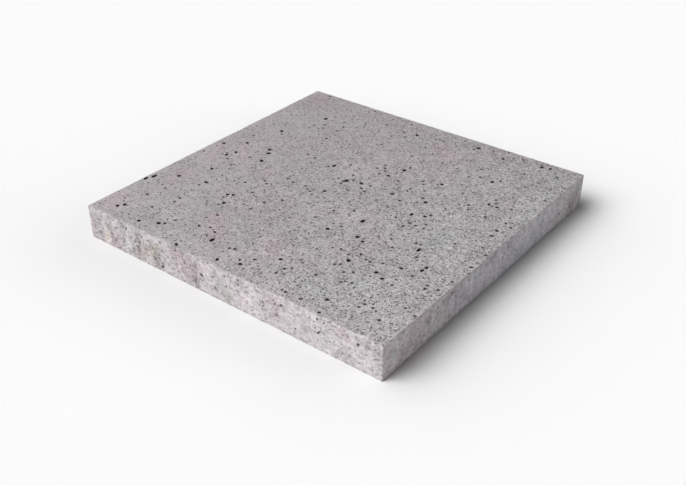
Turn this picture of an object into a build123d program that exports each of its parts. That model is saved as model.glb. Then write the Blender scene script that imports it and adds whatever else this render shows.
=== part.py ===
from build123d import *
import math
import os

# A square concrete paving slab, cast and pressed as one piece. It lies flat with its walking
# face up, and the origin is at the centre of its underside. Sizes are in millimetres.

# The block of concrete, and the small radius that the mould leaves on its edges
slab_length = 500.0      # along X
slab_width = 500.0       # along Y
slab_thickness = 50.0    # along Z
walking_arris = 1.0      # around the walking face
corner_arris = 1.2       # up the four corners
base_arris = 1.0         # around the underside

# Air trapped against the mould leaves open hollows. The largest are round voids, a little wider
# below the face than at their mouth.
void_undercut = 0.12     # how far the middle of a void lies below the face, as a share of its width

# The smaller ones are pits, each with a few sloping sides and a flat bottom.
pit_depth = 0.5          # as a share of its width
pit_taper = 15.0         # how far its sides lean from upright, in degrees
pit_sides = 8
small_pit_sides = 6
small_pit_length = 4.6
small_pit_width = 3.8
small_pit_turn = 50.0    # from one small pit's lean to the next one's, in degrees

# Voids in the walking face: place across and up the face, in percent of the slab's length and
# width from its centre, then the void's length and width, then the lean of its long axis in
# degrees from X
walking_voids = [
    (-48.2, -27.2, 11.5, 5.5, 90),
    (-49.1, -29.6, 9.5, 5.0, 100),
    (-33.4, 33.8, 8.0, 6.5, 90),
    (-30.0, -1.0, 7.5, 6.0, -50),
    (-10.9, 9.8, 8.0, 5.0, 90),
    (-10.5, -41.6, 10.0, 5.0, 90),
    (-3.1, 4.0, 5.5, 4.5, 45),
    (-2.4, 4.8, 8.0, 7.0, 90),
    (1.9, 6.2, 8.5, 5.0, -25),
    (14.7, -10.3, 8.5, 6.0, 90),
    (23.2, -27.6, 7.5, 5.5, -45),
    (31.0, 29.9, 9.0, 4.5, 90),
    (34.4, -12.8, 10.0, 4.5, 90),
    (38.1, 46.7, 8.0, 4.5, 90),
    (40.2, -20.1, 7.0, 4.5, 80),
    (40.4, -18.4, 6.0, 5.0, 90),
]

# Pits in the walking face, given in the same way
walking_pits = [
    (-47.1, 0.6, 5.5, 5.0, 90), (-43.4, -45.0, 6.5, 4.5, -45), (-42.6, -22.7, 6.0, 5.5, 0),
    (-42.3, -43.4, 6.0, 5.5, 0), (-41.6, 5.2, 6.5, 4.5, -45), (-41.1, -4.5, 7.0, 4.5, -50),
    (-40.0, -1.6, 7.0, 4.0, -50), (-38.6, 18.0, 7.0, 5.5, -45), (-38.2, -13.7, 6.5, 4.5, -45),
    (-37.2, 16.4, 5.0, 4.5, 0), (-33.6, -20.6, 8.0, 4.5, 0), (-33.0, 6.0, 6.5, 6.0, 0),
    (-32.7, -46.8, 5.5, 5.0, 0), (-31.6, 4.0, 8.0, 5.5, 45), (-27.6, -44.4, 6.5, 5.5, 0),
    (-26.2, -43.4, 5.0, 4.5, 0), (-23.8, -22.0, 5.5, 5.0, 0), (-22.4, -21.2, 6.0, 4.5, -45),
    (-21.4, -26.0, 6.0, 5.5, 90), (-19.2, -16.8, 5.0, 4.0, 0), (-16.2, -48.8, 7.5, 3.5, -30),
    (-12.1, 8.5, 5.0, 4.0, 0), (-3.6, -3.8, 5.5, 5.0, 0), (-3.0, 41.9, 7.0, 5.0, -45),
    (-3.0, -47.4, 6.0, 4.5, -45), (-2.8, -41.2, 5.0, 4.5, 0), (3.0, -45.4, 6.0, 4.5, 0),
    (5.4, 14.6, 6.0, 5.0, 0), (7.1, 20.2, 7.0, 5.0, 0), (9.4, 13.8, 5.0, 4.6, 0),
    (9.5, -37.6, 6.0, 4.5, 45), (9.8, -19.1, 6.0, 5.0, 0), (12.4, 6.6, 6.0, 5.0, 0),
    (16.2, 44.4, 5.0, 4.6, 0), (17.0, 46.0, 7.0, 6.0, 0), (18.3, -17.4, 6.5, 5.5, 0),
    (19.6, 18.8, 4.0, 3.6, 0), (20.4, 19.8, 5.5, 5.0, 0), (20.7, -18.4, 5.5, 4.5, 0),
    (22.4, 8.4, 6.5, 5.0, -25), (23.0, 0.6, 7.5, 4.5, 90), (26.4, 2.0, 5.5, 4.5, 0),
    (26.4, 44.4, 7.0, 3.8, -45), (27.4, 3.4, 5.0, 4.5, 0), (29.4, -43.8, 6.0, 4.0, 0),
    (31.0, -48.8, 5.0, 4.0, 0), (31.8, -27.6, 6.5, 5.0, 45), (34.5, -28.9, 5.5, 4.5, 0),
    (35.6, -22.4, 6.5, 4.0, 0), (36.0, 39.7, 5.0, 4.0, 0), (36.8, 18.1, 7.0, 4.2, -45),
    (39.4, 18.0, 6.0, 4.0, 0), (40.5, 47.3, 6.0, 4.0, 90), (45.4, 7.4, 5.5, 5.0, 0),
    (45.6, 4.4, 6.0, 4.0, 0), (46.6, -1.8, 5.0, 3.5, 0), (49.0, -4.6, 5.0, 4.0, 20),
    (49.0, -11.4, 5.5, 3.8, 40),
]

# Small pits in the walking face, which are all of one size: place across and up alone
small_pits = [
    (-48.2, -7.0), (-43.4, 10.2), (-43.4, 48.8), (-41.8, -35.6), (-40.4, -30.2), (-39.1, -6.2),
    (-35.4, -39.6), (-35.4, -8.4), (-34.4, -1.4), (-32.8, -31.6), (-32.6, -33.8), (-30.8, 30.0),
    (-25.2, -40.6), (-25.0, 29.0), (-25.0, 32.4), (-24.8, -13.8), (-24.2, 48.4), (-24.1, 22.6),
    (-23.8, -23.8), (-22.0, -27.4), (-21.8, 10.8), (-21.0, -9.6), (-19.4, -10.6), (-18.6, 10.2),
    (-18.1, -38.8), (-18.1, -31.8), (-16.4, -4.6), (-15.2, -37.5), (-14.9, 42.4), (-14.0, -5.4),
    (-13.4, -23.8), (-12.8, -19.0), (-12.6, -38.4), (-9.8, -4.8), (-9.6, -15.0), (-8.8, 47.4),
    (-8.2, -5.9), (-7.4, 13.1), (-7.4, 41.2), (-6.8, -6.4), (-5.4, -7.4), (-5.4, 38.6),
    (-4.2, -41.8), (-2.8, 2.6), (-2.8, 8.6), (-1.0, 6.2), (0.0, 16.4), (0.9, 19.4),
    (1.2, 0.8), (1.6, -44.0), (1.9, 17.8), (2.6, 14.0), (2.9, 16.4), (3.4, -16.4),
    (3.4, 42.9), (3.6, 3.8), (3.6, 29.1), (4.4, -41.7), (4.8, 6.6), (5.2, -10.6),
    (5.4, 3.0), (5.8, 43.4), (7.6, 22.6), (9.6, -7.4), (11.2, 47.6), (11.8, -15.9),
    (12.6, -42.8), (13.0, -40.2), (14.8, 10.6), (14.8, 12.2), (15.2, 18.0), (15.6, 0.0),
    (16.2, 4.8), (16.2, 16.6), (18.4, -47.2), (18.6, -24.6), (18.6, 13.6), (19.6, -47.4),
    (20.5, -3.2), (20.6, 6.8), (20.6, 9.8), (20.8, -37.4), (21.6, -31.1), (21.6, 47.2),
    (22.6, -30.1), (24.0, -23.4), (24.2, -47.4), (24.2, 28.4), (24.6, -5.6), (24.6, 34.6),
    (25.0, -3.4), (25.4, -32.4), (25.8, -12.8), (26.4, -24.6), (26.9, 30.2), (27.1, -3.6),
    (27.4, -31.0), (27.5, -36.1), (27.8, -24.8), (27.8, 19.0), (28.4, -16.0), (29.0, -1.4),
    (29.6, -3.4), (29.8, -34.8), (30.4, 13.0), (30.8, -23.4), (31.4, 47.6), (32.1, -10.6),
    (32.6, 14.4), (32.6, 31.8), (33.4, -10.4), (33.8, 12.2), (35.8, -15.9), (37.0, -41.5),
    (37.2, 21.4), (37.4, -39.8), (38.0, -29.6), (38.1, 19.8), (39.4, 11.6), (39.6, -23.4),
    (39.8, -39.8), (40.1, -4.8), (43.1, 19.4), (43.6, -42.6), (44.6, 43.8), (44.8, -24.6),
    (45.0, -26.0), (45.4, 12.2), (45.8, -35.2), (47.6, 11.0), (47.8, -24.6), (48.0, 29.4),
    (48.6, -19.6), (49.2, -36.4),
]

# Voids in the front face, the one at -Y: place along the slab and up it, in percent of its
# length from the centre and of its thickness from the underside, then as above
front_voids = [
    (-21.2, 16.0, 6.5, 4.0, 35),
    (-6.4, 52.0, 6.0, 4.5, 115),
    (20.4, 78.0, 5.0, 4.5, 0),
    (31.8, 52.0, 8.0, 3.0, 50),
    (43.2, 72.0, 6.0, 4.5, 60),
]

# Small chips off the edges: place along the edge in percent of its length from the middle,
# then the chip's length and how far it reaches in
front_base_chips = [(15.8, 17.0, 2.2)]
right_walking_chips = [(-27.6, 5.0, 2.0), (-8.6, 4.5, 1.8)]


def hollow(length, width):
    """A body to cut with: a ball as wide as it says, stretched along X to the length."""
    return scale(Sphere(width / 2), by=(length / width, 1, 1))


def void(face, across, up, length, width, lean):
    """A void in a face: its long axis lies along the face, just under it."""
    middle = Location((across, up, -void_undercut * width), (0, 0, lean))
    return face * middle * hollow(length, width)


def pit(face, across, up, length, width, lean, sides):
    """A pit in a face, which narrows towards its bottom. Its rim has a few straight sides and as
    much room inside as the oval of its length and width."""
    turns = [2 * math.pi * k / sides for k in range(sides)]
    reach = math.sqrt(math.pi / 2 / sides / math.sin(2 * math.pi / sides))
    rim = Polygon(*[(reach * length * math.cos(turn), reach * width * math.sin(turn)) for turn in turns])
    place = Location((across, up, 0), (0, 0, lean))
    return face * place * extrude(rim, amount=-pit_depth * width, taper=pit_taper)


def chip(corner, length, reach):
    """A chip off an edge, which runs along the X of the place that is given."""
    return corner * hollow(length, 2 * reach)


def cast_block():
    """The block as it leaves the mould."""
    upright = (Align.CENTER, Align.CENTER, Align.MIN)
    block = Box(slab_length, slab_width, slab_thickness, align=upright)
    block = fillet(block.edges().filter_by(Axis.Z), corner_arris)
    block = fillet(block.faces().sort_by(Axis.Z)[-1].edges(), walking_arris)
    return fillet(block.faces().sort_by(Axis.Z)[0].edges(), base_arris)


def walking_face_voids():
    """The largest hollows in the walking face."""
    face = Location((0, 0, slab_thickness))
    return [
        void(face, x / 100 * slab_length, y / 100 * slab_width, length, width, lean)
        for x, y, length, width, lean in walking_voids
    ]


def walking_face_pits():
    """The pits in the walking face, and then the small ones, each leaning another way."""
    face = Location((0, 0, slab_thickness))
    pits = [
        pit(face, x / 100 * slab_length, y / 100 * slab_width, length, width, lean, pit_sides)
        for x, y, length, width, lean in walking_pits
    ]
    for count, (x, y) in enumerate(small_pits):
        across = x / 100 * slab_length
        up = y / 100 * slab_width
        lean = count * small_pit_turn
        pits.append(pit(face, across, up, small_pit_length, small_pit_width, lean, small_pit_sides))
    return pits


def front_face_voids():
    """The larger voids in the front face, seen from the front with X to the right."""
    face = Location((0, -slab_width / 2, 0), (90, 0, 0))
    return [
        void(face, x / 100 * slab_length, z / 100 * slab_thickness, length, width, lean)
        for x, z, length, width, lean in front_voids
    ]


def edge_chips():
    """Chips off the front edge of the underside and the right edge of the walking face."""
    front = [
        chip(Location((x / 100 * slab_length, -slab_width / 2, 0)), length, reach)
        for x, length, reach in front_base_chips
    ]
    right = [
        chip(Location((slab_length / 2, y / 100 * slab_width, slab_thickness), (0, 0, 90)), length, reach)
        for y, length, reach in right_walking_chips
    ]
    return front + right


hollows = walking_face_voids() + walking_face_pits() + front_face_voids() + edge_chips()
paving_slab = cast_block() - hollows
paving_slab.label = "paving_slab"

os.makedirs("parts", exist_ok=True)
export_step(paving_slab, "parts/paving_slab.step")
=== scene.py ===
import math
import random

import bpy
import numpy as np
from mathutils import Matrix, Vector, noise
from mathutils.geometry import delaunay_2d_cdt


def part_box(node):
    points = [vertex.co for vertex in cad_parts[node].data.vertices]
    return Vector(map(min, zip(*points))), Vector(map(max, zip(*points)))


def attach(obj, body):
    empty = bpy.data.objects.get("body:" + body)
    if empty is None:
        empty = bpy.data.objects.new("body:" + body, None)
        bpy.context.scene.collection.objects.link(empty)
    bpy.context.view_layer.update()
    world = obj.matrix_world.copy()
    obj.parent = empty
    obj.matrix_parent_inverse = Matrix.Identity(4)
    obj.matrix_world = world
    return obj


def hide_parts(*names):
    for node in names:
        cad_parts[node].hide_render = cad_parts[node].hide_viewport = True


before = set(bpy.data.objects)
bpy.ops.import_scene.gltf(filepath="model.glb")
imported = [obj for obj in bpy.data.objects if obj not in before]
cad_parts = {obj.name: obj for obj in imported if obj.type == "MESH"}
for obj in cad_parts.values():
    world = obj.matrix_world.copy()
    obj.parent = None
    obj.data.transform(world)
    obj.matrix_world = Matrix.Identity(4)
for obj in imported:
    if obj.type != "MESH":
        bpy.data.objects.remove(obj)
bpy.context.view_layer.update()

# A pressed concrete paving slab on a white floor. The slab's mesh is worked out in
# millimetres, because its voids are a few millimetres across, and scaled to metres at the end.

MM = 0.001
NODE = "paving_slab"
low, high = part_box(NODE)
half_x = (high.x - low.x) / 2 / MM
half_y = (high.y - low.y) / 2 / MM
top_z = high.z / MM

# Camera: where it stands, where it looks and the nearest that it sees, in metres, then its lens
# and its sensor's width in millimetres
CAMERA_PLACE = (0.69535, -0.89480, 0.68575)
CAMERA_AIM = (0.03710, -0.04773, 0.0)
CAMERA_NEAR = 0.01
CAMERA_LENS = 48.154
CAMERA_SENSOR = 36

# Lamps, each far off and round: the direction it shines from as degrees round from +X and
# degrees up, its width in degrees, and its light on a surface that faces it. Together with the
# sky they light a level surface so that its colour renders about as it is written.
LAMPS = {
    "key": (235, 48, 46, 0.76),            # a wide soft box at the front left
    "fill": (203, 32, 85, 0.57),           # a wider one at the left
    "low_front": (251, 6.5, 58, 0.20),     # light that rakes the front
    "low_right": (27, 2.6, 24, 0.30),      # light that skims the floor from the right
}
SKY_LEVEL = 0.04

# Floor, in metres, and the white that the camera sees, with shade painted on it round the slab
BACKGROUND = 1.0
PAINTED_SHADE_PLACE = (-0.018, -0.018, 0)  # the middle of the shade painted on the ground, a little to the front left
PAINTED_SHADE_AMOUNT = 0.195      # how much darker the painted shade makes it at the slab's foot
PAINTED_SHADE_CORNER = 0.08       # radius of its corners
PAINTED_SHADE_REACH = 0.065       # how far from the slab most of it has gone
PAINTED_SHADE_FADE = 1.25         # how it goes: at 1 steeply from the start, at 2 like a bell
FLOOR_BOUNCE = 0.90      # the floor's colour for the light that it throws back
FLOOR_HALF = 15.0        # half its width

# Sides of the slab, in the order in which its outline runs, and what a point of it belongs to:
# the walking face, a side or the underside
SIDES = ("front", "right", "back", "left")
TOP, WALL, BASE = 0, 1, 2
WALL_DEPTH = 6           # the voids of a side reach in less than this, in millimetres

# Edges, in millimetres
ARRIS = 1.0              # radius on the edges of the walking face and the underside
ARRIS_MEAN = 0.82        # mean size of the rounding along an edge, as a share of that
ARRIS_WAVES = {          # how it wanders: the waves' length, amount as a share, level in the noise
    "top": [(5.0, 0.38, 3.0), (31.0, 0.25, 13.0)],
    "base": [(5.0, 0.38, 9.0), (31.0, 0.25, 19.0)],
}
LEAST_ARRIS = 0.35       # the smallest rounding
ARRIS_GAP = 0.3          # left between a rounding and the nearest void
ROUND_HOLLOW = 0.293     # how far in the middle of a rounding lies, as a share of its size
CHIP_HOLLOW = 0.55       # and the middle of a chip
CORNER = 1.2             # radius up the four corners
CORNER_ROOM = 0.9        # the largest rounding at a corner, as a share of the corner's radius
MORE_ROOM = 0.5          # and how much larger it may be for each millimetre away from there
EDGE_STEP = 2.0          # between points along an edge
ARC_STEPS = 3            # divisions of a corner
COLUMN_STEPS = 14        # divisions up a corner
TOP_NICKS = 34           # nicks in each edge of the walking face
BASE_NICKS = 16          # and of the underside
NICK_HALF = (1.2, 3.6)   # least and greatest half length of a nick
NICK_REACH = (0.9, 1.6)  # and how far in it reaches
SHARP_FROM = 32          # degrees between faces, from which an edge is drawn sharp

# Voids, in millimetres
BORDER = 2.6             # no void comes nearer to the edge of its face than this
SOLID_BORDER = 1.25      # apart from the solid's own, which may come this near
BESIDE = 2               # within which of such a void the edge's rounding gives way
VOID_GAP = 0.25          # left between two voids
FILL_START = 1.5         # from a face's border to the first points of its bare stretches
FILL_END = 1             # and from the last ones
FILL_GAP = 0.8           # left between such a point and a void
JITTER = 1.2             # how far such a point lies off its even grid
COLLAR = 0.8             # how far the dust and painted shade of the solid's own voids reach past their rims
COLLAR_GAP = 0.2         # left between the end of that and another void
CELL = 14.0              # side of the squares that voids are looked up by
VOID_DUST_AND_SHADE = 0.88         # how much the dust and painted shade in a void whose darkness is 1 take from the colour, as a share
SMALL_DARK = (0.7, 1.05)  # least and greatest darkness of the solid's small pits
SMALL_RIM_DARK = 0.35    # and at their rims, as a share of that
LARGE_DARK = 1.08        # the same for its larger voids
LARGE_RIM_DARK = 0.5
FRONT_DARK = 0.4         # how dark they are in the front face, as a share of that
SEED = 41

# How the solid's own voids are told from the rest of its mesh, in millimetres
LEVEL = 0.01             # what is no farther from a face lies in it
DEEPEST = 8              # no wall of a void is this deep
SHALLOWEST = 0.05        # and each reaches deeper than this
CHIP_BORDER = 2          # a hollow whose middle is this near to the edge is a chip
LEAST_RIM = 5            # a void's rim has at least so many points
ROUND_RIM = 12           # and a round void's so many
PIT_MEAN = 0.96          # mean radius of a straight-sided pit, as a share of its corners'
SMALL_REACH = 2.55       # a void with a smaller radius is a small one

# What the triangulation is asked for
INSIDE_ONLY = 1
SAME_PLACE = 1e-6

# Kinds of void: points around the rim, how much the rim wanders, and the rings from the rim to
# the bottom, each as shares of the radius and of the depth
DEEP = (18, 0.04, [(1.0, 0.0), (0.94, 0.34), (0.80, 0.70), (0.50, 0.93)])
MIDDLING = (10, 0.14, [(1.0, 0.0), (0.86, 0.50), (0.52, 0.90)])
SMALL = (7, 0.18, [(1.0, 0.0), (0.66, 0.72)])
TINY = (6, 0.18, [(1.0, 0.0)])

# Scattered voids: face, kind, how many, least and greatest width, depth as a share of the width,
# and darkness
SCATTER = [
    ("top", MIDDLING, 560, 2.6, 4, 0.4, 0.55), ("top", SMALL, 1680, 1.8, 3, 0.4, 0.62),
    ("top", TINY, 1900, 1, 1.9, 0.4, 0.65), ("front", SMALL, 170, 1.4, 3, 0.4, 0.4),
    ("front", TINY, 300, 0.9, 1.7, 0.4, 0.4), ("right", SMALL, 60, 1.4, 2.6, 0.3, 0.35),
    ("right", TINY, 120, 0.9, 1.5, 0.3, 0.35), ("back", MIDDLING, 14, 2.6, 5, 0.4, 0.6),
    ("back", SMALL, 80, 1.4, 3, 0.4, 0.4), ("back", TINY, 140, 0.9, 1.7, 0.4, 0.4),
    ("left", MIDDLING, 12, 2.6, 5, 0.4, 0.6), ("left", SMALL, 80, 1.4, 3, 0.4, 0.4),
    ("left", TINY, 140, 0.9, 1.7, 0.4, 0.4), ("base", MIDDLING, 40, 2.6, 5, 0.4, 0.6),
    ("base", SMALL, 240, 1.4, 2.8, 0.4, 0.4),
]
LENGTHS = (1.0, 1.5)      # least and greatest length, as a share of the width
DARKNESSES = (0.4, 1.25)  # and darkness, as a share of the one above
TRIES = 12               # for each void, before the scatter gives up
KEPT = 0.68              # share of the tries kept in the middle of the walking face
KEPT_MORE = 0.32         # and how much more at its front right corner

# Voids of the front face that are not in the solid: x, z, length, width, lean
FRONT_VOIDS = [
    (-172, 42.5, 6.5, 3, 75), (32, 38, 7, 2.5, 90), (72, 31, 5.5, 3, 110),
    (92, 37, 4, 3, 80), (157, 44.5, 5, 4, 20), (123, 14.5, 5, 2.5, 10),
    (63, 43.5, 10, 2.2, 8), (-142, 40, 5, 3, 40), (-129, 39.5, 4, 3, 30),
    (-106, 45.5, 4.5, 3.4, 20), (-78, 44.5, 5, 3, 40), (167, 43.5, 4.5, 2.5, 60),
    (145, 41.5, 7, 1.6, 25), (-230, 35, 6, 2.5, 30), (-240, 21, 4, 3, 0),
    (-195, 35, 4.5, 2.5, 30), (32, 45.5, 4.5, 3, 10), (-11, 32, 8, 2, 40),
    (-9, 16, 5, 2.5, 20), (-3, 18.8, 4, 2, 30), (-111, 40.5, 3.5, 3, 0),
    (-93, 28, 4, 2.5, 30), (-83, 31, 5, 2, 30), (-62, 31, 4, 1.8, 20),
    (11, 27, 5, 2.5, 80), (9, 42, 4, 2, 30), (56, 31, 4.5, 1.8, 10),
    (72, 25, 3, 2.5, 0), (94, 21, 4, 3.6, 0), (152, 39, 4, 2.5, 30),
    (194, 39.5, 3, 2, 0), (175, 38, 4, 2, 30), (213, 45.5, 4, 2.4, 20),
    (240, 27, 5, 2, 10), (227, 27, 5, 2.5, 170), (182, 24, 4, 2, 40),
    (217, 10, 4, 2.5, 0), (240, 41, 4, 2, 40), (-147, 31, 4, 3, 30),
]

# Voids of the right face, all shallow: y, z, length, width, lean
RIGHT_VOIDS = [
    (-68, 39, 5, 2.6, -40), (-181, 15, 3.6, 3, 0), (-176, 19, 4.2, 2.4, -50),
    (-181, 33, 4, 2.4, -30), (-99, 33, 7, 2.4, -45), (-99, 24, 4.6, 2.2, -70),
    (-108, 42.5, 8.5, 2.4, -5), (-115, 31, 5, 2, -30), (178, 18, 7.5, 3.6, -35),
    (213, 13, 8.5, 3.4, -50), (-139, 38.5, 4.5, 4, -60), (-160, 29, 4, 3, 0),
    (17, 28, 7, 2.4, -35), (228, 32, 4.5, 2.5, -25), (-14, 43.5, 4, 2.5, -60),
    (28, 38, 5, 3, -40), (20, 33.5, 4, 3, -40), (109, 12, 4, 3, -50),
]

# For each of these lists its face, the depth as a share of the width, and the darkness
LISTED_VOIDS = (("front", FRONT_VOIDS, 0.4, 0.6), ("right", RIGHT_VOIDS, 0.3, 0.45))

# Chips off the edges, at the places that they have in the solid: the side and its edge, how far
# along it, the chip's length and how far it reaches in
CHIPS = [
    ("front", "base", 79, 17, 2.2),
    ("right", "top", -138, 5, 2),
    ("right", "top", -43, 4.5, 1.8),
]

# Clouds of colour on the walking face: x, y, radius along and across, lean, then how far the
# grey leans to mauve, or below zero to green, and how much lighter or darker it is
TOP_CLOUDS = [
    (-228, 218, 31, 26, 0, 0.6, -0.07), (-180, 202, 24, 17, 0, 0.5, -0.05),
    (-60, 215, 34, 10, 0, 0.3, -0.07), (-20, 232, 26, 12, 0, 0.5, -0.05),
    (38, 194, 19, 14, -50, 0.6, -0.09), (58, 172, 29, 14, -50, 0.5, 0),
    (130, 226, 22, 14, 0, 0.4, -0.09), (80, 228, 14, 12, 0, 0, -0.09),
    (198, 238, 24, 12, 0, 0, -0.08), (228, 205, 18, 22, 0, -0.6, -0.05),
    (236, 152, 14, 18, 0, -0.6, 0.04), (238, 92, 10, 30, 0, -0.7, 0.07),
    (-120, 140, 26, 12, -45, 0.4, 0), (-90, 128, 10, 8, 0, 0, -0.07),
    (-200, 58, 16, 20, 0, 0.3, 0.05), (-228, 72, 12, 18, 0, 0.4, -0.08),
    (-30, 58, 22, 26, 0, 0, 0.09), (22, 74, 14, 10, 0, 0, -0.07),
    (-185, -8, 31, 14, -50, 0.6, 0), (-225, -30, 26, 14, 80, 0.5, 0.04),
    (-118, -30, 22, 14, 30, 0.6, 0), (-70, -28, 24, 16, 0, -0.5, -0.08),
    (-60, -72, 26, 18, 0, 0.2, -0.05), (-215, -108, 19, 17, 0, 0.8, -0.07),
    (-120, -148, 22, 12, 0, -0.8, -0.07), (-90, -160, 17, 10, -50, 0.7, -0.03),
    (-68, -185, 36, 19, -55, 0.6, 0), (-52, -208, 14, 14, 0, 0.5, -0.10),
    (-30, -125, 24, 40, 0, 0.2, -0.09), (10, -155, 24, 10, 0, 0.3, -0.05),
    (-215, -150, 17, 31, 0, 0.5, 0), (-232, -212, 22, 26, 80, 0.7, 0.08),
    (-140, -190, 18, 14, 0, 0, 0.07), (-150, -216, 16, 12, 0, 0, -0.07),
    (-20, -230, 40, 12, 0, 0.1, 0.08), (22, -180, 17, 17, -60, 0.6, 0.07),
    (85, -238, 32, 12, 0, 0.1, 0.10), (120, -212, 30, 12, 0, -0.9, 0.07),
    (215, -200, 30, 30, 0, -0.4, 0.07), (150, -170, 24, 14, 0, -0.5, 0.04),
    (115, -142, 14, 12, 0, 0, -0.08), (170, -150, 16, 10, 0, 0, -0.05),
    (50, -52, 18, 14, 0, 0, 0.09), (78, -84, 18, 12, 0, -0.7, 0.07),
    (40, -110, 18, 24, 0, -0.5, 0), (100, -92, 14, 14, 0, 0.3, -0.05),
    (150, 20, 34, 70, 0, -0.45, 0.04), (190, -20, 30, 60, 0, -0.35, 0.05),
    (130, 70, 22, 18, 0, -0.2, 0), (232, 36, 18, 16, 0, -0.6, -0.05),
    (172, -58, 14, 12, 0, 0, -0.07), (202, -98, 14, 12, 0, 0, -0.07),
    (-80, -90, 70, 60, 0, 0.12, -0.03), (190, -110, 50, 110, 0, -0.3, 0.02),
    (-80, 90, 110, 80, 0, 0.12, -0.01), (75, -225, 26, 16, 0, 0, 0.05),
]

# Stains on the front face: x, z, radius along, radius up, then mauve or, below zero, green, tan
# or, below zero, a blue that paints cool shade, then shade and flecks
FRONT_STAINS = [
    (-182, 25, 68, 60, 0, 0.1, -0.12, 0.3), (-244, 22, 6, 14, 0.7, 0.2, -0.14, 0),
    (-235, 44, 10, 6, -0.6, 0.2, 0.09, 0), (-226, 10, 7, 7, 0.7, 0, -0.17, 0),
    (-218, 26, 4.5, 22, -0.4, 0.3, 0.23, 0), (-213, 11, 5, 7, 0, 1.4, 0.20, 0),
    (-205, 16, 4, 18, 0.5, 0, -0.32, 0), (-196, 33, 7, 10, 0.2, 0, 0.12, 0),
    (-192, 14, 8, 12, 0.8, 0, -0.03, 0), (-181, 30, 4, 16, 0, 0.2, -0.17, 0),
    (-171, 24, 5, 22, -0.3, 0, 0.20, 0), (-152, 38, 4, 12, 0.7, 0, -0.20, 0),
    (-150, 16, 5, 13, 0.5, 0.7, -0.35, 0), (-139, 14, 8, 10, 0.1, 0.9, -0.18, 0.2),
    (-124, 33, 10, 12, 0.2, 0.9, -0.10, 0.3), (-118, 12, 8, 9, 0, 0.8, -0.29, 0.2),
    (-107, 20, 5, 14, -0.3, 0.2, -0.12, 0), (-72, 44, 12, 5, 0.6, 0, -0.14, 0),
    (-68, 27, 13, 20, 0.9, 0, 0, 0), (-47, 30, 6, 14, 0.7, 0, -0.26, 0),
    (-42, 11, 7, 9, 0.5, 0, -0.35, 0), (-31, 40, 7, 8, 0.5, 0, 0.22, 0),
    (-16, 32, 4, 12, 0, 0, -0.14, 0), (-10, 14, 10, 5, 0.4, 0, -0.12, 0),
    (10, 14, 6, 14, -1.0, 0.4, -0.23, 0), (30, 36, 4, 10, -0.2, 0, -0.12, 0),
    (46, 16, 18, 12, 0.3, 0, 0.12, 0), (73, 26, 3.5, 18, -0.2, 0, -0.14, 0),
    (84, 40, 8, 7, 0.5, 0.3, -0.09, 0), (92, 22, 6, 14, 0.4, 0.2, -0.17, 0),
    (112, 24, 12, 14, 0, 0, 0.07, 0), (124, 12, 10, 4, -0.3, 0.1, -0.14, 0),
    (168, 16, 10, 12, -0.5, 0, 0.10, 0), (192, 42, 11, 7, 1.1, 0, -0.20, 0),
    (202, 16, 6, 9, 0, 0, -0.17, 0), (226, 44, 10, 5, 0.5, 0, -0.07, 0),
    (226, 12, 18, 10, -0.1, 0, 0.07, 0), (243, 38, 6, 8, 0.6, 0, -0.12, 0),
    (-60, 25, 34, 60, 0.2, 0, -0.10, 0),
]

# Stains on the right face, with light and shade painted on it: y, z and the same
RIGHT_STAINS_AND_PAINTED_LIGHT = [
    # first row, painted shade: a cooler, darker tint over the whole face, which is in shade, with fewer
    # flecks
    (0, 25, 400, 200, -0.10, 0, -0.03, -0.2), (-245, 24, 6, 24, 1.2, 0, -0.04, 0),
    (-238, 6, 12, 6, 1.1, 0, -0.14, 0), (-229, 26, 6, 14, -0.5, 0.1, 0.10, 0),
    (-214, 14, 8, 16, 0.8, 0, -0.10, 0), (-205, 16, 5, 10, 0.9, 0, -0.12, 0),
    (-193, 30, 8, 12, 0.7, 0, 0.02, 0), (-172, 20, 18, 16, 0.6, 0, -0.09, 0),
    (-165, 42, 24, 7, 0.5, 0.5, 0.06, 0), (-142, 18, 10, 18, -0.6, 0, 0.05, 0),
    (-138, 38, 4, 6, 0, 0, -0.12, 0), (-112, 41, 9, 6, 1.0, 0, -0.14, 0),
    (-96, 28, 8, 16, 1.0, 0, -0.12, 0), (-118, 16, 8, 12, -0.3, 0, 0.05, 0),
    (-76, 21, 4, 6, 0, 0, -0.22, 0), (-70, 39, 4, 6, 0, 0, -0.20, 0),
    (-50, 30, 16, 16, -0.3, 0, 0.06, 0), (-14, 43, 12, 7, 1.3, 0, -0.14, 0),
    (12, 29, 6, 4, 0, 0, -0.14, 0), (28, 40, 16, 8, 1.1, 0, -0.10, 0),
    (75, 34, 34, 12, -0.1, 0, 0.06, 0), (70, 10, 40, 8, -0.3, 0, -0.04, 0),
    (112, 12, 12, 6, -0.2, 0, -0.12, 0), (145, 34, 20, 14, 0, 0, 0.07, 0),
    (178, 19, 9, 5, 0, 0, -0.22, 0), (192, 40, 12, 8, 0.5, 0.1, 0.05, 0),
    (214, 16, 10, 14, 0.9, 0.1, -0.28, 0), (230, 22, 10, 18, 0.9, 0.1, -0.20, 0),
    (243, 38, 6, 12, -0.9, 0, -0.05, 0), (245, 6, 6, 8, 0, 0, -0.30, 0),
    # painted light along the foot of the face and painted shade along its top
    (0, 2, 600, 13, 0, 0, 0.15, 0), (0, 50, 600, 14, 0, 0, -0.05, 0),
    # painted shade: a cool blue band across the middle of the face
    (30, 28, 170, 40, 0, -0.6, 0, 0),
]

# Ground colours of the concrete: the walking face's, then the sides'
TOP_GREY = (0.372, 0.348, 0.356, 1)
TOP_MAUVE = (0.406, 0.336, 0.362, 1)
TOP_GREEN = (0.345, 0.352, 0.347, 1)
SIDE_GREY = (0.480, 0.450, 0.463, 1)
SIDE_MAUVE = (0.475, 0.398, 0.430, 1)
SIDE_GREEN = (0.432, 0.448, 0.440, 1)
SIDE_TAN = (0.490, 0.430, 0.365, 1)
# a cool blue that paints shade on the right face
SIDE_COOL_SHADE = (0.462, 0.455, 0.494, 1)

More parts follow.
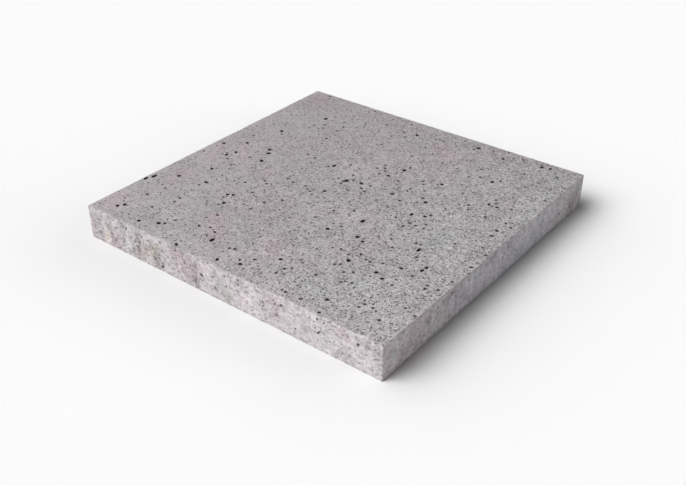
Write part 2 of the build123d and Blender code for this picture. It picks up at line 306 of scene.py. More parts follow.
# Clouds in the concrete: waves to the metre, detail, roughness of the noise, and strength
TINT = (11.0, 4.0, 0.55, 1.1)         # between mauve and green
BROKEN = (55.0, 4.0, 0.65, 1.0)       # breaks up the listed clouds and stains
BROAD = (30.0, 3.0, 0.6, 0.35)
MOTTLE = (90.0, 4.0, 0.65, 0.55)
FINE = (350.0, 3.0, 0.7, 1.95)
FINER = (900.0, 1.0, 0.5, 1.0)
PASTE = (75.0, 6.0, 0.8, 1.35)
RAGGED = (90.0, 4.0, 0.65, 0.042)     # how far the paste's border wanders, in metres

# Patches in it: the same first three, then the noise's values where a patch starts and is full
TAN_PATCHES = (95.0, 4.0, 0.7, 0.36, 0.60)
PALE = (190.0, 4.0, 0.7, 0.46, 0.60)
FLECKS = (225.0, 3.0, 0.65, 0.49, 0.63)

# Grit: cells to the metre, size as a share of a cell, and share of the cells with a grain
LIGHT_GRIT = (380.0, 0.50, 0.45)
DARK_GRIT = (290.0, 0.44, 0.42)
GRAIN_LEAST = 0.5        # the smallest grain, as a share of that size
GRAIN_MORE = 0.7         # and how much larger the largest is
GRAIN_EDGE = 2.2         # how sharply a grain ends

# What these make lighter or, below zero, darker, as shares of the ground colour
LIGHT_GRIT_TONE = 0.34
DARK_GRIT_TONE = -0.58
PALE_TONE = 0.20
FLECK_TONE = -0.31
# painted shade along the foot of the sides
FOOT_PAINTED_SHADE = -0.09
SIDE_FINE = 0.45         # how much of the fine clouds shows on the sides
DARKEST_TONE = 0.25      # no grain or stain is darker, as a share of the ground colour

# Over the walking face: change to the metre along x and along y, and value in the middle
GRAIN_STRENGTH = (1.75, -0.45, 1.07)
# painted light and shade: the walking face lighter towards the front and darker towards the back
TOP_PAINTED_SHADE = (0, -0.28, 0.018)

# Where the paste of the sides runs, in metres
PASTE_BORDER = (-0.003, 0.0015)  # inside and outside the walking face's edge
PASTE_BELOW = (0.030, 0.020)     # from the first height down to the second all turns to paste
FRONT_STRIP = (-0.236, -0.249)   # y from which and to which its border wanders more
ELSEWHERE = 0.45         # how much it wanders along the other edges, as a share
FOOT_SHADE_HEIGHTS = (0.006, 0.001)    # heights between which painted shade darkens a side at its foot
FOOT_WANDER = 0.2        # how much that border wanders, as a share of the other

# Gloss and bump of the concrete
SPECULAR = 0.3
ROUGHNESS = 0.88         # its mean
ROUGHNESS_GRAIN = 0.15   # how much the fine clouds change it
LIGHT_GRIT_HEIGHT = 0.5  # how far the light grit stands up
DARK_GRIT_HEIGHT = -0.9  # and the dark grit lies deeper, below zero
BUMP_STRENGTH = 0.5
BUMP_DISTANCE = 0.00025  # in metres

NODE_GAP = 60            # between the nodes of a material, in the node editor


def make_camera():
    data = bpy.data.cameras.new("camera")
    data.sensor_fit = "HORIZONTAL"
    data.sensor_width = CAMERA_SENSOR
    data.lens = CAMERA_LENS
    data.clip_start = CAMERA_NEAR
    camera = bpy.data.objects.new("camera", data)
    camera.location = CAMERA_PLACE
    towards = Vector(CAMERA_AIM) - Vector(CAMERA_PLACE)
    camera.rotation_euler = towards.to_track_quat("-Z", "Y").to_euler()
    bpy.context.scene.collection.objects.link(camera)
    bpy.context.scene.camera = camera


def make_lamps():
    for name, (round_from_x, up, width, level) in LAMPS.items():
        data = bpy.data.lights.new(name, "SUN")
        data.angle = math.radians(width)
        data.energy = math.pi * level
        lamp = bpy.data.objects.new(name, data)
        lamp.rotation_euler = (0, math.radians(90 - up), math.radians(round_from_x))
        bpy.context.scene.collection.objects.link(lamp)


class Nodes:
    """The nodes of a material or of the world. A value given to one is a number, a tuple or
    another node's output."""

    def __init__(self, owner):
        owner.use_nodes = True
        self.tree = owner.node_tree
        self.tree.nodes.clear()
        self.place = None

    def join(self, value, socket):
        """Sets an input to a value."""
        if isinstance(value, bpy.types.NodeSocket):
            self.tree.links.new(value, socket)
        else:
            socket.default_value = value

    def add(self, kind, **settings):
        """A node. A setting that names an input goes there, and any other is a property."""
        made = self.tree.nodes.new(kind)
        made.location = (0, -NODE_GAP * len(self.tree.nodes))
        for key, value in settings.items():
            if key in made.inputs:
                self.join(value, made.inputs[key])
            else:
                setattr(made, key, value)
        return made

    def where(self):
        """The place on the object, in metres."""
        if not self.place:
            self.place = self.add("ShaderNodeTexCoord").outputs["Object"]
        return self.place

    def attribute(self, name):
        return self.add("ShaderNodeAttribute", attribute_name=name).outputs["Fac"]

    def math(self, operation, a, b=0.0, c=0.0, clamp=False):
        made = self.add("ShaderNodeMath", operation=operation, use_clamp=clamp)
        for value, socket in zip((a, b, c), made.inputs):
            self.join(value, socket)
        return made.outputs[0]

    def vector(self, operation, a, b=(0, 0, 0)):
        made = self.add("ShaderNodeVectorMath", operation=operation)
        self.join(a, made.inputs[0])
        self.join(b, made.inputs[1])
        return made.outputs["Value" if operation == "LENGTH" else "Vector"]

    def mixed(self, amount, first, second):
        """A colour this far from the first to the second."""
        made = self.add("ShaderNodeMix", data_type="RGBA")
        for value, k in ((amount, 0), (first, 6), (second, 7)):
            self.join(value, made.inputs[k])
        return made.outputs[2]

    def ramp(self, value, bottom, top):
        """0 up to the bottom value, 1 from the top one, and a smooth step between."""
        limits = {"From Min": bottom, "From Max": top, "Value": value}
        made = self.add("ShaderNodeMapRange", interpolation_type="SMOOTHSTEP", **limits)
        return made.outputs["Result"]

    def noise(self, scale, detail, rough, stretch):
        """Cloudy noise from 0 to 1."""
        place = self.where()
        if stretch:
            place = self.add("ShaderNodeMapping", Vector=place, Scale=stretch).outputs[0]
        made = self.add("ShaderNodeTexNoise", Vector=place, Scale=scale, Detail=detail, Roughness=rough)
        return made.outputs["Fac"]

    def clouds(self, kind, stretch=None):
        """One of the clouds listed above: noise about 0, times its strength."""
        *noise_values, strength = kind
        about_zero = self.math("SUBTRACT", self.noise(*noise_values, stretch), 0.5)
        return self.math("MULTIPLY", about_zero, strength)

    def patches(self, kind, stretch=None):
        """1 on the patches of a listed kind, 0 between them."""
        *noise_values, bottom, top = kind
        return self.ramp(self.noise(*noise_values, stretch), bottom, top)

    def grains(self, scale, size, share):
        """1 in the middle of the grains of this size, for this share of the cells."""
        cells = self.add("ShaderNodeTexVoronoi", Vector=self.where(), Scale=scale)
        chance = self.add("ShaderNodeSeparateColor", Color=cells.outputs["Color"])
        picked = self.math("LESS_THAN", chance.outputs[0], share)
        reach = self.math("MULTIPLY_ADD", chance.outputs[1], size * GRAIN_MORE, size * GRAIN_LEAST)
        outward = self.math("DIVIDE", cells.outputs["Distance"], reach)
        inward = self.math("SUBTRACT", 1.0, outward, clamp=True)
        return self.math("MULTIPLY", picked, self.math("MULTIPLY", inward, GRAIN_EDGE, clamp=True))

    def seen_directly(self):
        """1 for a ray from the camera or through a mirror or glass, else 0."""
        path = self.add("ShaderNodeLightPath").outputs
        seen = self.math("MAXIMUM", path["Is Camera Ray"], path["Is Glossy Ray"])
        return self.math("MAXIMUM", seen, path["Is Transmission Ray"])


def make_world():
    world = bpy.data.worlds.new("sky")
    nodes = Nodes(world)
    light = nodes.add("ShaderNodeBackground", Color=(1, 1, 1, 1), Strength=SKY_LEVEL)
    shown = nodes.add("ShaderNodeBackground", Color=(1, 1, 1, 1), Strength=BACKGROUND)
    mix = nodes.add("ShaderNodeMixShader")
    for k, value in enumerate((nodes.seen_directly(), light.outputs[0], shown.outputs[0])):
        nodes.join(value, mix.inputs[k])
    nodes.add("ShaderNodeOutputWorld", Surface=mix.outputs[0])
    bpy.context.scene.world = world


def floor_white_and_painted_shade(nodes):
    """The white of the floor, with shade painted on it round the slab."""
    core = (half_x * MM - PAINTED_SHADE_CORNER, half_y * MM - PAINTED_SHADE_CORNER, 0)
    either_way = nodes.vector("ABSOLUTE", nodes.vector("SUBTRACT", nodes.where(), PAINTED_SHADE_PLACE))
    outside = nodes.vector("MAXIMUM", nodes.vector("SUBTRACT", either_way, core), (0, 0, 0))
    away = nodes.math("SUBTRACT", nodes.vector("LENGTH", outside), PAINTED_SHADE_CORNER, clamp=True)
    bent = nodes.math("POWER", nodes.math("DIVIDE", away, PAINTED_SHADE_REACH), PAINTED_SHADE_FADE)
    fading = nodes.math("POWER", 1 / math.e, bent)
    return nodes.math("MULTIPLY_ADD", fading, -PAINTED_SHADE_AMOUNT, BACKGROUND)


def make_floor():
    material = bpy.data.materials.new("floor")
    nodes = Nodes(material)
    bounce = (FLOOR_BOUNCE, FLOOR_BOUNCE, FLOOR_BOUNCE, 1)
    # the camera sees the floor's white with its painted shade round the slab
    colour = nodes.mixed(nodes.seen_directly(), bounce, floor_white_and_painted_shade(nodes))
    shader = nodes.add("ShaderNodeBsdfDiffuse", Color=colour)
    nodes.add("ShaderNodeOutputMaterial", Surface=shader.outputs[0])
    mesh = bpy.data.meshes.new("floor")
    corners = [(x * FLOOR_HALF, y * FLOOR_HALF, 0) for x, y in ((-1, -1), (1, -1), (1, 1), (-1, 1))]
    mesh.from_pydata(corners, [], [(0, 1, 2, 3)])
    mesh.materials.append(material)
    floor = bpy.data.objects.new("floor", mesh)
    bpy.context.scene.collection.objects.link(floor)


class Void:
    """A hollow in a face: its middle, its radius at even steps round, its depth and its rings,
    and how much dust and painted shade darken it inside and at its rim."""

    def __init__(self, u, v, radii, depth, rings, dust_and_shade, rim_dust_and_shade=0.0):
        self.u, self.v = u, v
        self.radii = radii
        self.depth = depth
        self.rings = rings
        self.dust_and_shade = dust_and_shade
        self.rim_dust_and_shade = rim_dust_and_shade
        self.reach = max(radii)
        rim = list(self.ring())
        self.reach_u = max(abs(p[0] - u) for p in rim)
        self.reach_v = max(abs(p[1] - v) for p in rim)

    def ring(self, share=1.0, beyond=0.0):
        """(u, v) of points at this share of the rim's radius, or this far beyond it."""
        for turn, radius in zip(even_turns(len(self.radii)), self.radii):
            reach = share * radius + beyond
            yield self.u + reach * math.cos(turn), self.v + reach * math.sin(turn)

    def points(self):
        """(u, v, depth, dust and painted shade) of the rings from the rim down, and of the bottom."""
        for share, down in self.rings:
            for u, v in self.ring(share):
                yield u, v, down * self.depth, self.dust_and_shade if down else self.rim_dust_and_shade
        yield self.u, self.v, self.depth, self.dust_and_shade


def even_turns(steps):
    """Angles at even steps round a circle."""
    return [2 * math.pi * k / steps for k in range(steps)]


def swings(turns, wander, rng):
    """How much the rim of a void swells or shrinks at each of these turns."""
    waves = [(k, wander / k ** 0.5 * rng.uniform(0.3, 1.0), rng.uniform(0, 2 * math.pi)) for k in (2, 3, 4)]
    return [1 + sum(size * math.cos(n * turn + start) for n, size, start in waves) for turn in turns]


def oval(u, v, length, width, lean, depth, kind, dust_and_shade, rng):
    """A void with a wandering oval rim."""
    steps, wander, rings = kind
    turns = even_turns(steps)
    radii = []
    for turn, swing in zip(turns, swings(turns, wander, rng)):
        along = math.cos(turn - math.radians(lean)) / (length / 2)
        across = math.sin(turn - math.radians(lean)) / (width / 2)
        radii.append(swing / math.hypot(along, across))
    return Void(u, v, radii, depth, rings, dust_and_shade)


class Face:
    """One flat face of the slab: where its u and v run, and the voids in it."""

    def __init__(self, name, place, reach_u, low_v, high_v, side, step):
        self.name = name
        self.place = place          # (u, v, depth) to a point of the slab
        self.reach_u = reach_u
        self.low_v, self.high_v = low_v, high_v
        self.side = side            # TOP, WALL or BASE
        self.step = step            # between the points of its bare stretches
        self.voids = []
        self.cells = {}             # its voids again, by the square that they are in

    def holds(self, u, v, border, reach_u=0.0, reach_v=0.0):
        """Whether a place, or a shape that reaches this far from it, keeps clear of the edges."""
        return (
            abs(u) + reach_u < self.reach_u - border
            and v - reach_v > self.low_v + border
            and v + reach_v < self.high_v - border
        )

    def near(self, u, v, gap, apart_from=None):
        """Whether any void but the one left out comes this near to a place."""
        cu, cv = self.cell(u, v)
        for iu in (cu - 1, cu, cu + 1):
            for iv in (cv - 1, cv, cv + 1):
                for other in self.cells.get((iu, iv), ()):
                    distance = math.hypot(u - other.u, v - other.v)
                    if other is not apart_from and distance < other.reach + gap:
                        return True
        return False

    @staticmethod
    def cell(u, v):
        return int(u // CELL), int(v // CELL)

    def put(self, void, border=BORDER):
        """Adds a void where it keeps clear of the edges and of the voids already there."""
        clear = self.holds(void.u, void.v, border, void.reach_u, void.reach_v)
        if clear and not self.near(void.u, void.v, void.reach + VOID_GAP):
            self.voids.append(void)
            self.cells.setdefault(self.cell(void.u, void.v), []).append(void)
            return True
        return False


faces = {
    "top": Face("top", lambda u, v, d: (u, v, top_z - d), half_x, -half_y, half_y, TOP, 9.0),
    "base": Face("base", lambda u, v, d: (v, u, d), half_y, -half_x, half_x, BASE, 24.0),
    "front": Face("front", lambda u, v, d: (u, -half_y + d, v), half_x, 0, top_z, WALL, 4.5),
    "right": Face("right", lambda u, v, d: (half_x - d, u, v), half_y, 0, top_z, WALL, 4.5),
    "back": Face("back", lambda u, v, d: (-u, half_y - d, v), half_x, 0, top_z, WALL, 4.5),
    "left": Face("left", lambda u, v, d: (-half_x + d, -u, v), half_y, 0, top_z, WALL, 4.5),
}
near_edge = []        # voids of the solid that leave the edge less room than usual


def solid_mesh():
    """The solid's points in millimetres, each place once, and its triangles."""
    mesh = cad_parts[NODE].data
    places = np.round(np.array([v.co for v in mesh.vertices]) / MM, 3)
    points, index = np.unique(places, axis=0, return_inverse=True)
    mesh.calc_loop_triangles()
    triangles = np.array([t.vertices for t in mesh.loop_triangles])
    return points, index.ravel()[triangles]


def joined(triangles):
    """Groups of the points that these triangles join."""
    leader = {int(p): int(p) for p in triangles.ravel()}

    def first(p):
        while leader[p] != p:
            leader[p] = leader[leader[p]]
            p = leader[p]
        return p

    for a, b, c in triangles.tolist():
        leader[first(a)] = first(b)
        leader[first(b)] = first(c)
    groups = {}
    for p in leader:
        groups.setdefault(first(p), []).append(p)
    return [np.array(group) for group in groups.values()]


def hollows(face, u, v, depth, triangles):
    """The rim and the depth of each of the solid's hollows in a face, chips off its edges apart."""
    inner = (depth > -LEVEL) & (depth < DEEPEST) & (np.abs(u) < face.reach_u - CORNER)
    inner &= (v > face.low_v + CORNER) & (v < face.high_v - CORNER)
    walls = inner[triangles].all(1) & (depth[triangles].max(1) > SHALLOWEST)
    for group in joined(triangles[walls]):
        rim = np.stack([u[group], v[group]], 1)[depth[group] < LEVEL]
        if len(rim) < LEAST_RIM:
            continue
        middle = (rim.max(0) + rim.min(0)) / 2
        if abs(middle[0]) <= face.reach_u - CHIP_BORDER and middle[1] >= face.low_v + CHIP_BORDER:
            yield rim, float(depth[group].max())


def void_of_the_solid(rim, depth, darkness, rng):
    """A void with the solid's rim, which wanders most round a small one."""
    middle = (rim.max(0) + rim.min(0)) / 2
    across, up = (rim - middle).T
    reach = np.hypot(across, up)
    if len(rim) < ROUND_RIM:
        reach *= PIT_MEAN
    if reach.max() < SMALL_REACH:
        steps, wander, rings = MIDDLING
        dust_and_shade = darkness * rng.uniform(*SMALL_DARK)
        rim_dust_and_shade = SMALL_RIM_DARK * dust_and_shade
    else:
        steps, wander, rings = DEEP
        dust_and_shade = darkness * LARGE_DARK
        rim_dust_and_shade = LARGE_RIM_DARK * dust_and_shade
    turns = even_turns(steps)
    own_rim = np.interp(turns, np.arctan2(up, across), reach, period=2 * math.pi)
    radii = [radius * swing for radius, swing in zip(own_rim, swings(turns, wander, rng))]
    return Void(*middle, radii, depth, rings, dust_and_shade, rim_dust_and_shade)


def voids_of_the_solid(rng):
    """Puts the solid's own hollows into the walking face and the front face."""
    points, triangles = solid_mesh()
    x, y, z = points.T
    for face, u, v, depth, darkness in (
        (faces["top"], x, y, top_z - z, 1.0),
        (faces["front"], x, z, y + half_y, FRONT_DARK),
    ):
        for rim, deepest in hollows(face, u, v, depth, triangles):
            void = void_of_the_solid(rim, deepest, darkness, rng)
            if not face.put(void, border=SOLID_BORDER):
                print("no room for the solid's void at", void.u, void.v, "in", face.name)
            elif not face.holds(void.u, void.v, BORDER, void.reach_u, void.reach_v):
                near_edge.append(void)


def listed_voids(rng):
    """The voids that are placed one by one."""
    for name, voids, deep, dust_and_shade in LISTED_VOIDS:
        for u, v, length, width, lean in voids:
            faces[name].put(oval(u, v, length, width, lean, deep * width, MIDDLING, dust_and_shade, rng))


def scattered_voids(rng):
    """The many small voids, closer together towards the front right of the walking face."""
    for name, kind, count, smallest, largest, deep, dust_and_shade in SCATTER:
        face = faces[name]
        placed = tries = 0
        while placed < count and tries < TRIES * count:
            tries += 1
            u = rng.uniform(-face.reach_u, face.reach_u)
            v = rng.uniform(face.low_v, face.high_v)
            if name == "top" and rng.random() > KEPT + KEPT_MORE * (u - v) / (half_x + half_y):
                continue
            width = smallest + (largest - smallest) * rng.random() ** 2
            length = width * rng.uniform(*LENGTHS)
            darkness = dust_and_shade * rng.uniform(*DARKNESSES)
            lean = rng.uniform(0, 180)
            placed += face.put(oval(u, v, length, width, lean, deep * width, kind, darkness, rng))


def outline():
    """The slab's outline, anticlockwise. For each side: its name, the points of its straight run
    and those of the corner after it, each as x, y, outward direction and place along the side."""
    quarter = [(-1, -1), (1, -1), (1, 1), (-1, 1)]
    for side, name in enumerate(SIDES):
        turn = math.radians(90 * side)
        along = (math.cos(turn), math.sin(turn))
        out = (along[1], -along[0])
        reach = faces[name].reach_u - CORNER
        depth = half_y if side % 2 == 0 else half_x
        steps = round(2 * reach / EDGE_STEP)
        run = []
        for k in range(steps + 1):
            u = -reach + 2 * reach * k / steps
            run.append((along[0] * u + out[0] * depth, along[1] * u + out[1] * depth, out, u))
        sx, sy = quarter[(side + 1) % 4]
        middle = (sx * (half_x - CORNER), sy * (half_y - CORNER))
        corner = []
        for k in range(1, ARC_STEPS):
            angle = turn - math.pi / 2 + math.pi / 2 * k / ARC_STEPS
            out = (math.cos(angle), math.sin(angle))
            place = (middle[0] + CORNER * out[0], middle[1] + CORNER * out[1])
            corner.append((*place, out, faces[name].reach_u))
        yield name, run, corner


def edge_chips(rng):
    """The listed chips, and a scatter of nicks, by edge and face: place, half length, reach."""
    chips = {}
    for edge, nicks in (("top", TOP_NICKS), ("base", BASE_NICKS)):
        for name in SIDES:
            reach_u = faces[name].reach_u
            chips[edge, name] = [
                (rng.uniform(-reach_u, reach_u), rng.uniform(*NICK_HALF), rng.uniform(*NICK_REACH))
                for _ in range(nicks)
            ]
    for name, edge, place, length, reach in CHIPS:
        chips[edge, name].append((place, length / 2, reach))
    return chips


def arris_size(edge, x, y, name, u, chips):
    """How far the rounding of an edge reaches at a place, and how hollow it is."""
    share = ARRIS_MEAN
    for length, amount, level in ARRIS_WAVES[edge]:
        share += amount * noise.noise(Vector((x / length, y / length, level)))
    size = ARRIS * share
    hollow = ROUND_HOLLOW
    for place, half_length, reach in chips[edge, name]:
        near = 1 - ((u - place) / half_length) ** 2
        if near > 0 and reach * math.sqrt(near) > size:
            size = reach * math.sqrt(near)
            hollow = CHIP_HOLLOW
    room = CORNER_ROOM * CORNER + MORE_ROOM * max(0.0, faces[name].reach_u - CORNER - abs(u))
    for void in near_edge:
        if math.hypot(x - void.u, y - void.v) < void.reach + BESIDE:
            room = min(room, abs(half_x - abs(void.u)) - void.reach_u - ARRIS_GAP)
    return max(LEAST_ARRIS, min(size, BORDER - ARRIS_GAP, room)), hollow


class Shell:
    """The slab's mesh as it grows. A point's side runs from TOP through WALL to BASE."""

    def __init__(self):
        self.points = []
        self.dust_and_shade = []
        self.side = []
        self.polygons = []

    def point(self, place, dust_and_shade, side):
        self.points.append(place)
        self.dust_and_shade.append(dust_and_shade)
        self.side.append(side)
        return len(self.points) - 1

    def column(self, name, spot, chips):
        """Six points down the slab at a spot of its outline: three on the rounding of the walking
        face's edge and three on the underside's."""
        x, y, out, u = spot
        size, hollow = arris_size("top", x, y, name, u, chips)
        rows = [
            (size, top_z, TOP),
            (size * hollow, top_z - size * hollow, (TOP + WALL) / 2),
            (0.0, top_z - size, WALL),
        ]
        size, hollow = arris_size("base", x, y, name, u, chips)
        rows += [(0.0, size, WALL), (size * hollow, size * hollow, (WALL + BASE) / 2), (size, 0.0, BASE)]
        return [
            self.point((x - out[0] * inset, y - out[1] * inset, z), 0.0, side)
            for inset, z, side in rows
        ]

    def upright(self, column):
        """Points up a corner, from the base's rounding to the top's."""
        foot, head = self.points[column[3]], self.points[column[2]]
        inner = []
        for k in range(1, COLUMN_STEPS):
            z = foot[2] + (head[2] - foot[2]) * k / COLUMN_STEPS
            inner.append(self.point((foot[0], foot[1], z), 0.0, WALL))
        return [column[3]] + inner + [column[2]]

    def strip(self, first, second):
        """Joins two rows of as many points, the second to the left of the first."""
        for k in range(len(first) - 1):
            self.polygons.append((first[k], first[k + 1], second[k + 1], second[k]))

    def fill(self, face, border, flat):
        """Fills a face inside its border of points, with its voids in it."""
        spots = [Vector(p) for p in flat]
        indices = list(border)
        for void in face.voids:
            for u, v, depth, dust_and_shade in void.points():
                spots.append(Vector((u, v)))
                indices.append(self.point(face.place(u, v, depth), dust_and_shade, face.side))
        for u, v in filler(face):
            spots.append(Vector((u, v)))
            indices.append(self.point(face.place(u, v, 0), 0.0, face.side))
        edge = [list(range(len(border)))]
        _, _, triangles, origin, _, _ = delaunay_2d_cdt(spots, [], edge, INSIDE_ONLY, SAME_PLACE)
        for triangle in triangles:
            self.polygons.append(tuple(indices[origin[k][0]] for k in triangle))


def spaced(start, end, step):
    """Numbers from the start, a step apart, that stay below the end."""
    while start < end:
        yield start
        start += step


def filler(face):
    """A sparse even scatter of points on the bare stretches of a face, and the points outside
    the rims of the solid's voids, where their dust and painted shade have faded."""
    rng = random.Random(face.name)
    for v in spaced(face.low_v + BORDER + FILL_START, face.high_v - BORDER - FILL_END, face.step):
        for u in spaced(-face.reach_u + BORDER + FILL_START, face.reach_u - BORDER - FILL_END, face.step):
            place = (u + rng.uniform(-JITTER, JITTER), v + rng.uniform(-JITTER, JITTER))
            if not face.near(*place, FILL_GAP):
                yield place
    for void in face.voids:
        if void.rim_dust_and_shade:
            for u, v in void.ring(beyond=COLLAR):
                if face.holds(u, v, BORDER) and not face.near(u, v, COLLAR_GAP, void):
                    yield u, v


def corners_and_sides(shell, sides):
    """The curved corners and the four sides between them."""
    uprights = [
        (shell.upright(run[0]), shell.upright(run[-1]), [shell.upright(column) for column in corner])
        for _, run, corner in sides
    ]
    for k, (name, run, _) in enumerate(sides):
        first, last, curve = uprights[k]
        chain = [last] + curve + [uprights[(k + 1) % 4][0]]
        for near, far in zip(chain, chain[1:]):
            for j in range(len(near) - 1):
                shell.polygons.append((near[j], far[j], far[j + 1], near[j + 1]))
        foot = [column[3] for column in run]
        head = [column[2] for column in run]
        border = foot + last[1:-1] + head[::-1] + first[1:-1][::-1]
        flat = []
        for index in border:
            x, y, z = shell.points[index]
            flat.append(({"front": x, "right": y, "back": -x, "left": -y}[name], z))
        shell.fill(faces[name], border, flat)


def build_slab():
    rng = random.Random(SEED)
    voids_of_the_solid(rng)
    listed_voids(rng)
    scattered_voids(rng)
    chips = edge_chips(rng)
    shell = Shell()
    sides = []
    for name, run, corner in outline():
        run = [shell.column(name, spot, chips) for spot in run]
        corner = [shell.column(name, spot, chips) for spot in corner]
        sides.append((name, run, corner))
    columns = [column for _, run, corner in sides for column in run + corner]
    round_again = columns + columns[:1]
    for row in (0, 1, 3, 4):
        shell.strip([column[row + 1] for column in round_again], [column[row] for column in round_again])
    corners_and_sides(shell, sides)
    rim = [column[0] for column in columns]
    shell.fill(faces["top"], rim, [shell.points[i][:2] for i in rim])
    rim = [column[5] for column in columns][::-1]
    shell.fill(faces["base"], rim, [(shell.points[i][1], shell.points[i][0]) for i in rim])
    return shell


def blot(places, middle, radii, lean, amounts):
    """What a blot adds at each place: its amounts in the middle, fading to nothing outward."""
    angle = math.radians(lean)
    across, up = (places - middle).T
    along = (across * math.cos(angle) + up * math.sin(angle)) / radii[0]
    beside = (up * math.cos(angle) - across * math.sin(angle)) / radii[1]
    return np.exp(-(along ** 2 + beside ** 2))[:, None] * np.array(amounts)


def clouds(places):
    """Mauve and shade at each place of the walking face."""
    return sum(
        blot(places, (x, y), (long, short), lean, amounts)
        for x, y, long, short, lean, *amounts in TOP_CLOUDS
    )


def stains_and_painted_light(places, listed):
    """Mauve, tan, shade and flecks at each place of a side, some of it painted light and shade."""
    return sum(blot(places, (u, z), (long, high), 0, amounts) for u, z, long, high, *amounts in listed)


def stain_and_painted_light_values(points, side):
    """Mauve, tan, shade and flecks at each point of the slab, some of it painted light and shade."""
    values = np.zeros((len(points), 4))
    x, y, z = points.T
    upper = side < WALL
    wall = ~upper & (side < BASE)
    front = wall & (y < -half_y + WALL_DEPTH)
    right = wall & (x > half_x - WALL_DEPTH) & ~front
    values[upper, 0], values[upper, 2] = clouds(points[upper, :2]).T
    for listed, on_wall, along in ((FRONT_STAINS, front, x), (RIGHT_STAINS_AND_PAINTED_LIGHT, right, y)):
        values[on_wall] = stains_and_painted_light(np.stack([along[on_wall], z[on_wall]], 1), listed)
    return values.T


def make_slab():
    shell = build_slab()
    points = np.array(shell.points)
    mesh = bpy.data.meshes.new("slab")
    mesh.from_pydata((points * MM).tolist(), [], shell.polygons)
    mesh.update()
    stains_and_painted_light = stain_and_painted_light_values(points, np.array(shell.side))
    # the void attribute holds the dust and painted shade inside the voids
    for name, values in zip(("void", "mauve", "tan", "shade", "flecks"), (np.array(shell.dust_and_shade), *stains_and_painted_light)):
        layer = mesh.attributes.new(name, "FLOAT", "POINT")
        layer.data.foreach_set("value", values.astype(np.float32))
    mesh.shade_smooth()
    mesh.set_sharp_from_angle(angle=math.radians(SHARP_FROM))
    slab = bpy.data.objects.new("slab", mesh)
    bpy.context.scene.collection.objects.link(slab)
    slab.data.materials.append(concrete())
    return slab


class Grain:
    """The concrete's grain, which its colour, its gloss and its bump share."""

    def __init__(self, nodes):
        self.fine = nodes.clouds(FINE)
        self.both = nodes.math("ADD", self.fine, nodes.clouds(FINER))
        self.light_grit = nodes.grains(*LIGHT_GRIT)
        self.dark_grit = nodes.grains(*DARK_GRIT)
        self.broken = nodes.math("ADD", nodes.clouds(BROKEN), 1.0)


def paste_border(nodes, y):
    """How far, in metres, the border of the sides' cement paste wanders: most at the front."""
    at_the_front = nodes.ramp(y, *FRONT_STRIP)
    amount = nodes.math("MULTIPLY_ADD", at_the_front, 1 - ELSEWHERE, ELSEWHERE)
    return nodes.math("MULTIPLY", nodes.clouds(RAGGED), amount)


def paste_share(nodes, x, y, z, ragged):
    """1 on the sides and underneath, 0 on the walking face, with a ragged border between."""
    beyond_x = nodes.math("SUBTRACT", nodes.math("ABSOLUTE", x), half_x * MM)
    beyond_y = nodes.math("SUBTRACT", nodes.math("ABSOLUTE", y), half_y * MM)
    outward = nodes.math("MAXIMUM", beyond_x, beyond_y)
    down = nodes.math("ADD", outward, nodes.math("SUBTRACT", top_z * MM, z))
    on_side = nodes.ramp(nodes.math("ADD", down, ragged), *PASTE_BORDER)
    return nodes.math("MAXIMUM", on_side, nodes.ramp(z, *PASTE_BELOW))


def ground_colour(nodes, grain, on_side):
    """The clouded greys under the grain, with a cool painted shade on the right face."""
    tan = nodes.attribute("tan")
    tint = nodes.math("MULTIPLY_ADD", nodes.attribute("mauve"), grain.broken, nodes.clouds(TINT))
    towards_mauve = nodes.math("MULTIPLY", tint, 1.0, clamp=True)
    towards_green = nodes.math("MULTIPLY", tint, -1.0, clamp=True)
    # below zero this attribute paints a cool blue shade
    towards_cool_shade = nodes.math("MULTIPLY", tan, -1.0, clamp=True)
    towards_tan = nodes.math("MULTIPLY", tan, nodes.patches(TAN_PATCHES), clamp=True)
    top = nodes.mixed(towards_mauve, TOP_GREY, TOP_MAUVE)
    top = nodes.mixed(towards_green, top, TOP_GREEN)
    side = nodes.mixed(towards_mauve, SIDE_GREY, SIDE_MAUVE)
    side = nodes.mixed(towards_green, side, SIDE_GREEN)
    side = nodes.mixed(towards_tan, side, SIDE_TAN)
    side = nodes.mixed(towards_cool_shade, side, SIDE_COOL_SHADE)
    return nodes.mixed(on_side, top, side)


def across_the_top(nodes, x, y, along_x, along_y, middle):
    """A value that changes evenly over the walking face, by so much to the metre."""
    return nodes.math("MULTIPLY_ADD", x, along_x, nodes.math("MULTIPLY_ADD", y, along_y, middle))


def top_tone(nodes, grain, x, y):
    """How much lighter or darker the grain makes the walking face, with painted shade that darkens it
    towards the back.
    """
    tone = nodes.math("ADD", nodes.clouds(MOTTLE), grain.both)
    tone = nodes.math("MULTIPLY_ADD", grain.light_grit, LIGHT_GRIT_TONE, tone)
    tone = nodes.math("MULTIPLY_ADD", grain.dark_grit, DARK_GRIT_TONE, tone)
    tone = nodes.math("MULTIPLY", tone, across_the_top(nodes, x, y, *GRAIN_STRENGTH))
    # painted shade that darkens the walking face towards the back
    tone = nodes.math("ADD", tone, across_the_top(nodes, x, y, *TOP_PAINTED_SHADE))
    return nodes.math("ADD", tone, nodes.clouds(BROAD))


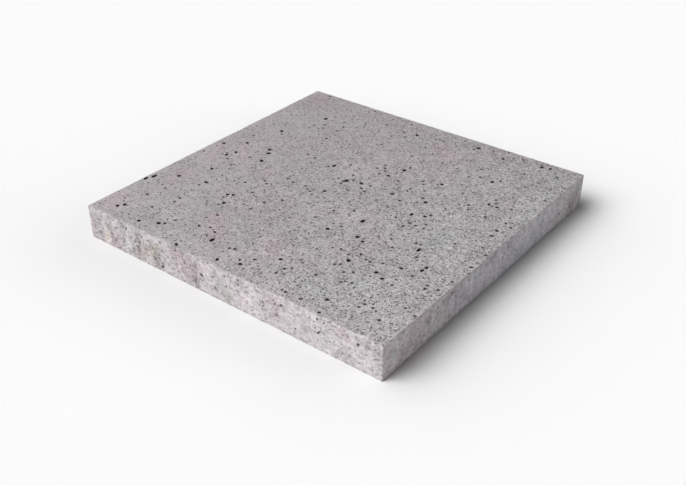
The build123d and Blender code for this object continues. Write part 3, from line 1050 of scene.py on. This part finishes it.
def side_tone(nodes, grain, z, ragged):
    """The same for the sides: cloudy pale paste, with flecks that lie along the slab, and painted shade
    along the foot.
    """
    more_flecks = nodes.math("ADD", nodes.attribute("flecks"), 1.0)
    flecks = nodes.math("MULTIPLY", nodes.patches(FLECKS, (0.75, 0.75, 1.0)), more_flecks)
    # painted shade along the foot of each side
    foot = nodes.ramp(nodes.math("MULTIPLY_ADD", ragged, FOOT_WANDER, z), *FOOT_SHADE_HEIGHTS)
    tone = nodes.math("MULTIPLY_ADD", grain.fine, SIDE_FINE, nodes.clouds(PASTE, (1.0, 1.0, 0.6)))
    tone = nodes.math("MULTIPLY_ADD", nodes.patches(PALE, (0.7, 0.7, 1.0)), PALE_TONE, tone)
    tone = nodes.math("MULTIPLY_ADD", flecks, FLECK_TONE, tone)
    return nodes.math("MULTIPLY_ADD", foot, FOOT_PAINTED_SHADE, tone)


def whole_tone(nodes, grain, on_side, top, side):
    """What the ground colour is multiplied by: the grain with the painted shade on the walking face and at
    the sides' foot, the stains' shade with the light and shade painted on the right face, and the dust and
    painted shade in the voids.
    """
    tone = nodes.math("MULTIPLY_ADD", nodes.math("SUBTRACT", side, top), on_side, top)
    tone = nodes.math("MULTIPLY_ADD", nodes.attribute("shade"), grain.broken, tone)
    tone = nodes.math("MAXIMUM", nodes.math("ADD", tone, 1.0), DARKEST_TONE)
    # dust and painted shade inside the voids
    lit = nodes.math("SUBTRACT", 1.0, nodes.math("MULTIPLY", nodes.attribute("void"), VOID_DUST_AND_SHADE))
    return nodes.math("MULTIPLY", tone, lit)


def relief(nodes, grain):
    """The grit that is too fine for the mesh, as bump."""
    height = nodes.math("MULTIPLY_ADD", grain.light_grit, LIGHT_GRIT_HEIGHT, grain.both)
    height = nodes.math("MULTIPLY_ADD", grain.dark_grit, DARK_GRIT_HEIGHT, height)
    bump = nodes.add("ShaderNodeBump", Height=height, Strength=BUMP_STRENGTH, Distance=BUMP_DISTANCE)
    return bump.outputs[0]


def concrete():
    """Grey concrete: fine light and dark grit on a clouded ground, paler on the sides, where the
    cement paste met the mould, with dust and painted shade inside the voids, painted shade along
    the sides' foot and towards the back of the walking face, and painted light and shade on the
    right face."""
    material = bpy.data.materials.new("concrete")
    nodes = Nodes(material)
    x, y, z = nodes.add("ShaderNodeSeparateXYZ", Vector=nodes.where()).outputs
    grain = Grain(nodes)
    ragged = paste_border(nodes, y)
    on_side = paste_share(nodes, x, y, z, ragged)
    top = top_tone(nodes, grain, x, y)
    side = side_tone(nodes, grain, z, ragged)
    tone = whole_tone(nodes, grain, on_side, top, side)
    colour = nodes.add("ShaderNodeVectorMath", operation="SCALE", Scale=tone)
    nodes.join(ground_colour(nodes, grain, on_side), colour.inputs[0])
    gloss = nodes.math("MULTIPLY_ADD", grain.fine, ROUGHNESS_GRAIN, ROUGHNESS, clamp=True)
    shader = nodes.add("ShaderNodeBsdfPrincipled", Roughness=gloss, Normal=relief(nodes, grain))
    nodes.join(colour.outputs[0], shader.inputs["Base Color"])
    nodes.join(SPECULAR, shader.inputs["Specular IOR Level"])
    nodes.add("ShaderNodeOutputMaterial", Surface=shader.outputs[0])
    return material


make_camera()
make_lamps()
make_world()
make_floor()
slab = make_slab()
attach(slab, "root")
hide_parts(NODE)

bpy.context.scene.view_settings.view_transform = "Standard"
bpy.context.view_layer.update()
